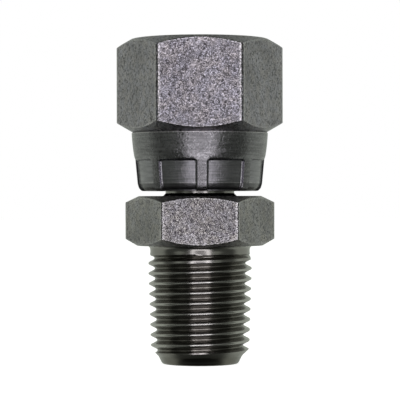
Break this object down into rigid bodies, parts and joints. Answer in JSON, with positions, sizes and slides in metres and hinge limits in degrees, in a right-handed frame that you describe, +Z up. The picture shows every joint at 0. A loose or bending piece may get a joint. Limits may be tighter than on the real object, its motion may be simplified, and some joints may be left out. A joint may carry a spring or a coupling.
{
  "type": "hydraulic test point adapter",
  "caption": "Straight hydraulic test point adapter: hexagon body with a male taper pipe thread and a crimped swivel nut with a female parallel pipe thread.",
  "frame": {"origin": "centre of the male end face, at the foot of the upright adapter", "axes": "+Z up the common axis of body and nut, from the male taper thread to the mouth of the nut; -Y is the normal of a flat of each hexagon"},
  "size_m": [0.0218, 0.019, 0.0424],
  "materials": {
    "body_steel": "zinc plated turned steel, satin, with grainy drawn hexagon flats",
    "nut_steel": "zinc plated steel, satin turned skirt and grainy drawn hexagon flats"
  },
  "bodies": {
    "body": {"adapter_body": "body_steel"},
    "nut": {"swivel_nut": "nut_steel"}
  },
  "joints": [
    {"name": "nut_swivel", "type": "hinge", "parent": "body", "child": "nut", "pos_m": [0, 0, 0.03], "axis": [0, 0, 1], "continuous": true}
  ]
}
